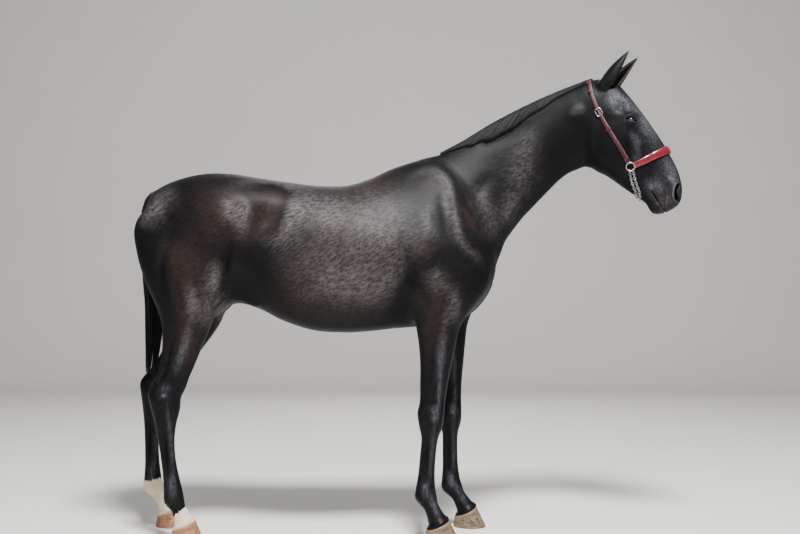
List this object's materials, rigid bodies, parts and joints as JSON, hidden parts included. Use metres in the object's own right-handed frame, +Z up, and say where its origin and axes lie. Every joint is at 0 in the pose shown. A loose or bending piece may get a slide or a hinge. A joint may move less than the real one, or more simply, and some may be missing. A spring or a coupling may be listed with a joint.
{
  "type": "horse",
  "caption": "Standing horse, a still life-size model on four hooves with its head turned a little, wearing a leather head collar with a chin chain.",
  "frame": {"origin": "on the ground, at the middle of the model's bounding box in plan", "axes": "+X forwards, +Y towards the horse's left, +Z up; the head is turned a little to the right (-Y)"},
  "size_m": [2.3657, 0.576, 2.0628],
  "materials": {
    "coat": "short glossy black-brown hair",
    "sock": "short white hair",
    "hair": "long coarse black hair",
    "horn": "ringed tan-grey horn",
    "eye": "wet, very dark brown",
    "leather": "stitched dark red leather",
    "patent": "glossy crimson patent leather",
    "metal": "polished"
  },
  "bodies": {
    "root": {"head": "coat", "neck": "coat", "trunk": "coat", "ear_right": "coat", "ear_left": "coat", "mane": "hair", "tail": "hair", "eye_right": "eye", "eye_left": "eye", "fore_right_forearm": "coat", "fore_right_cannon": "coat", "fore_right_pastern": "coat", "fore_right_hoof": "horn", "fore_left_forearm": "coat", "fore_left_cannon": "coat", "fore_left_pastern": "coat", "fore_left_hoof": "horn", "hind_right_gaskin": "coat", "hind_right_cannon": "coat", "hind_right_pastern": "sock", "hind_right_hoof": "horn", "hind_left_gaskin": "coat", "hind_left_cannon": "coat", "hind_left_pastern": "sock", "hind_left_hoof": "horn", "halter_crown": "leather", "halter_noseband": "patent", "halter_chain": "metal", "halter_ring_left": "metal", "halter_ring_right": "metal", "halter_buckle_left": "metal", "halter_buckle_right": "metal"}
  },
  "joints": []
}
